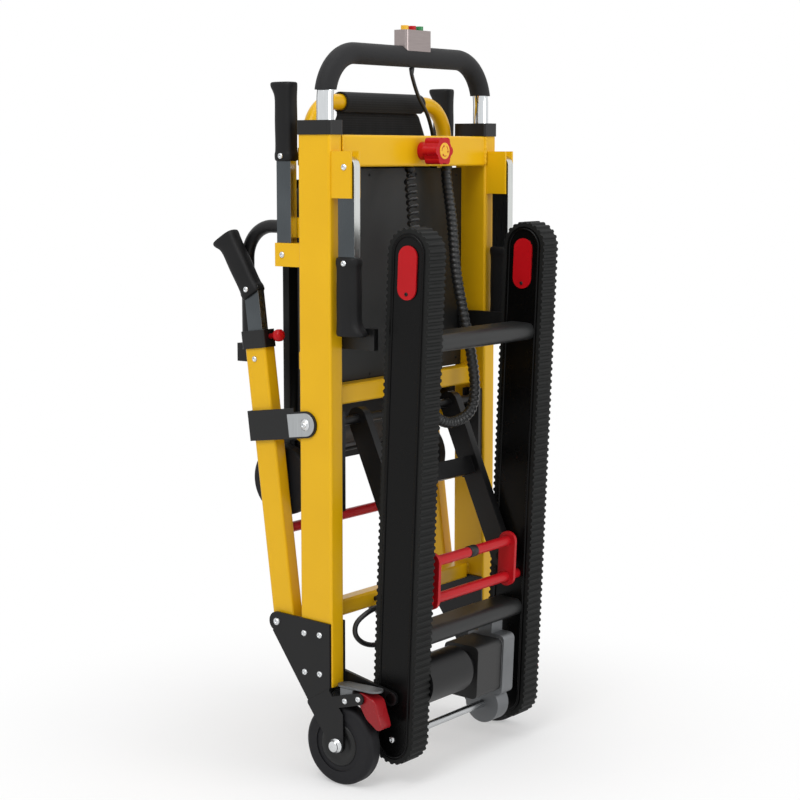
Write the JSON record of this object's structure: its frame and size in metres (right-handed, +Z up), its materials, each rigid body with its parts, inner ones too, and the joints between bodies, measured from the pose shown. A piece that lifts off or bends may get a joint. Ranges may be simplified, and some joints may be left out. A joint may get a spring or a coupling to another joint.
{
  "type": "folded stair climbing wheelchair",
  "caption": "Folded stair climbing wheelchair on a two-upright frame with powered rubber tracks, a telescopic push handle, carry handles, and fold-out legs, seat and armrests.",
  "frame": {"origin": "centre of the bounding box's bottom face, on the floor under the rear wheels", "axes": "+Z up, +Y to the rear where the tracks are, +X to the sitter's left"},
  "size_m": [0.459, 0.3856, 1.139],
  "materials": {
    "yellow_paint": "gloss",
    "black_paint": "satin",
    "red_paint": "satin",
    "steel": "brushed",
    "chrome": "polished",
    "aluminium": "satin",
    "cast_alloy": "cast",
    "black_rubber": "matte",
    "wheel_rubber": "matte",
    "black_plastic": "satin",
    "grey_plastic": "satin",
    "red_plastic": "gloss",
    "yellow_plastic": "gloss",
    "green_plastic": "gloss",
    "black_cloth": "woven",
    "black_leather": "grained"
  },
  "bodies": {
    "frame": {"uprights": "yellow_paint", "frame_crossbars": "yellow_paint", "back_tube": "yellow_paint", "upright_collars": "black_plastic", "battery_case": "grey_plastic", "battery_pack": "green_plastic", "backrest": "black_cloth", "bottom_plates": "black_paint", "frame_brackets": "yellow_paint", "track_guides": "black_plastic", "wheel_forks": "black_paint", "brake_guards": "cast_alloy", "handle_cable": "black_rubber", "frame_cables": "black_plastic", "curly_cord": "black_rubber"},
    "push_handle": {"handle_tube": "chrome", "handle_grip": "black_rubber", "control_box": "aluminium"},
    "yellow_button": {"yellow_button": "yellow_plastic"},
    "red_button": {"red_button": "red_plastic"},
    "green_button": {"green_button": "green_plastic"},
    "estop": {"estop_head": "red_plastic"},
    "leg_frame": {"leg_tubes": "yellow_paint", "foot_bar": "red_paint", "leg_collars": "black_plastic", "leg_straps": "black_plastic"},
    "seat": {"seat_board": "black_plastic", "seat_cushion": "black_leather"},
    "track_unit": {"track_rails": "black_plastic", "track_belts": "black_rubber", "track_covers": "red_plastic", "track_crossbars": "grey_plastic", "motor": "black_paint", "gearbox": "cast_alloy"},
    "drive_shaft": {"drive_shaft": "steel"},
    "idler_pulleys": {"idler_pulleys": "grey_plastic"},
    "folding_strut": {"folding_strut": "black_paint"},
    "release_loop": {"release_loop": "red_paint"},
    "rear_handle_left": {"rear_handle_left": "steel", "rear_grip_left": "black_rubber"},
    "front_handle_left": {"front_handle_left": "steel", "front_grip_left": "black_rubber"},
    "leg_handle_left": {"leg_handle_left": "steel", "leg_grip_left": "black_rubber"},
    "front_arm_left": {"front_arm_left": "black_paint"},
    "front_wheel_left": {"front_wheel_left": "wheel_rubber"},
    "armrest_left": {"armrest_left": "black_paint"},
    "rear_wheel_left": {"rear_wheel_left": "wheel_rubber"},
    "brake_pedal_left": {"brake_pedal_left": "red_plastic"},
    "rear_handle_right": {"rear_handle_right": "steel", "rear_grip_right": "black_rubber"},
    "front_handle_right": {"front_handle_right": "steel", "front_grip_right": "black_rubber"},
    "leg_handle_right": {"leg_handle_right": "steel", "leg_grip_right": "black_rubber"},
    "front_arm_right": {"front_arm_right": "black_paint"},
    "front_wheel_right": {"front_wheel_right": "wheel_rubber"},
    "armrest_right": {"armrest_right": "black_paint"},
    "rear_wheel_right": {"rear_wheel_right": "wheel_rubber"},
    "brake_pedal_right": {"brake_pedal_right": "red_plastic"}
  },
  "joints": [
    {"name": "handle_slide", "type": "slide", "parent": "frame", "child": "push_handle", "axis": [0, 0, 1], "range_m": [0, 0.2], "deforming": ["handle_cable"]},
    {"name": "yellow_button_press", "type": "slide", "parent": "push_handle", "child": "yellow_button", "axis": [0, 0, -1], "range_m": [0, 0.003], "stiffness_N_per_m": 300},
    {"name": "red_button_press", "type": "slide", "parent": "push_handle", "child": "red_button", "axis": [0, 0, -1], "range_m": [0, 0.003], "stiffness_N_per_m": 300},
    {"name": "green_button_press", "type": "slide", "parent": "push_handle", "child": "green_button", "axis": [0, 0, -1], "range_m": [0, 0.003], "stiffness_N_per_m": 300},
    {"name": "estop_press", "type": "slide", "parent": "frame", "child": "estop", "axis": [0, -1, 0], "range_m": [0, 0.005], "stiffness_N_per_m": 600},
    {"name": "leg_fold", "type": "hinge", "parent": "frame", "child": "leg_frame", "pos_m": [0, -0.06325, 0.236], "axis": [1, 0, 0], "range_deg": [0, 82.7]},
    {"name": "seat_fold", "type": "hinge", "parent": "frame", "child": "seat", "pos_m": [0, -0.05925, 0.52], "axis": [1, 0, 0], "range_deg": [0, 85]},
    {"name": "track_swing", "type": "hinge", "parent": "frame", "child": "track_unit", "pos_m": [0, 0.12451, 0.1379], "axis": [-1, 0, 0], "range_deg": [0, 38], "deforming": ["curly_cord"]},
    {"name": "drive_spin", "type": "hinge", "parent": "track_unit", "child": "drive_shaft", "pos_m": [0, 0.12075, 0.072], "axis": [1, 0, 0], "continuous": true},
    {"name": "idler_spin", "type": "hinge", "parent": "track_unit", "child": "idler_pulleys", "pos_m": [0, 0.15128, 0.80036], "axis": [1, 0, 0], "continuous": true},
    {"name": "strut_fold", "type": "hinge", "parent": "track_unit", "child": "folding_strut", "pos_m": [0, 0.12351, 0.30509], "axis": [1, 0, 0], "range_deg": [0, 67.4]},
    {"name": "release_pull", "type": "hinge", "parent": "track_unit", "child": "release_loop", "pos_m": [0, 0.14232, 0.27628], "axis": [-1, 0, 0], "range_deg": [0, 25]},
    {"name": "rear_handle_left_fold", "type": "hinge", "parent": "frame", "child": "rear_handle_left", "pos_m": [0.201, 0.06475, 0.925], "axis": [1, 0, 0], "range_deg": [0, 100]},
    {"name": "front_handle_left_fold", "type": "hinge", "parent": "frame", "child": "front_handle_left", "pos_m": [0.201, -0.05325, 0.795], "axis": [1, 0, 0], "range_deg": [0, 50]},
    {"name": "leg_handle_left_slide", "type": "slide", "parent": "leg_frame", "child": "leg_handle_left", "axis": [0, -0.1271, 0.9919], "range_m": [0, 0.12]},
    {"name": "front_arm_left_fold", "type": "hinge", "parent": "leg_frame", "child": "front_arm_left", "pos_m": [0.185, -0.10922, 0.62632], "axis": [1, 0, 0], "range_deg": [-82, 0]},
    {"name": "front_wheel_left_spin", "type": "hinge", "parent": "front_arm_left", "child": "front_wheel_left", "pos_m": [0.171, -0.08622, 0.44679], "axis": [1, 0, 0], "continuous": true},
    {"name": "armrest_left_fold", "type": "hinge", "parent": "frame", "child": "armrest_left", "pos_m": [0.172, -0.05925, 0.835], "axis": [1, 0, 0], "range_deg": [-90, 0]},
    {"name": "rear_wheel_left_spin", "type": "hinge", "parent": "frame", "child": "rear_wheel_left", "pos_m": [0.203, 0.05275, 0.0625], "axis": [1, 0, 0], "continuous": true},
    {"name": "brake_left_press", "type": "hinge", "parent": "frame", "child": "brake_pedal_left", "pos_m": [0.203, 0.09475, 0.141], "axis": [-1, 0, 0], "range_deg": [0, 12]},
    {"name": "rear_handle_right_fold", "type": "hinge", "parent": "frame", "child": "rear_handle_right", "pos_m": [-0.201, 0.06475, 0.925], "axis": [1, 0, 0], "range_deg": [0, 100]},
    {"name": "front_handle_right_fold", "type": "hinge", "parent": "frame", "child": "front_handle_right", "pos_m": [-0.201, -0.05325, 0.795], "axis": [1, 0, 0], "range_deg": [0, 50]},
    {"name": "leg_handle_right_slide", "type": "slide", "parent": "leg_frame", "child": "leg_handle_right", "axis": [0, -0.1271, 0.9919], "range_m": [0, 0.12]},
    {"name": "front_arm_right_fold", "type": "hinge", "parent": "leg_frame", "child": "front_arm_right", "pos_m": [-0.185, -0.10922, 0.62632], "axis": [1, 0, 0], "range_deg": [-82, 0]},
    {"name": "front_wheel_right_spin", "type": "hinge", "parent": "front_arm_right", "child": "front_wheel_right", "pos_m": [-0.171, -0.08622, 0.44679], "axis": [1, 0, 0], "continuous": true},
    {"name": "armrest_right_fold", "type": "hinge", "parent": "frame", "child": "armrest_right", "pos_m": [-0.172, -0.05925, 0.835], "axis": [1, 0, 0], "range_deg": [-90, 0]},
    {"name": "rear_wheel_right_spin", "type": "hinge", "parent": "frame", "child": "rear_wheel_right", "pos_m": [-0.203, 0.05275, 0.0625], "axis": [1, 0, 0], "continuous": true},
    {"name": "brake_right_press", "type": "hinge", "parent": "frame", "child": "brake_pedal_right", "pos_m": [-0.203, 0.09475, 0.141], "axis": [-1, 0, 0], "range_deg": [0, 12]}
  ],
  "couplings": [
    {"joint": "idler_spin", "follows": "drive_spin", "ratio": 1},
    {"joint": "strut_fold", "follows": "track_swing", "ratio": 1.7605}
  ]
}
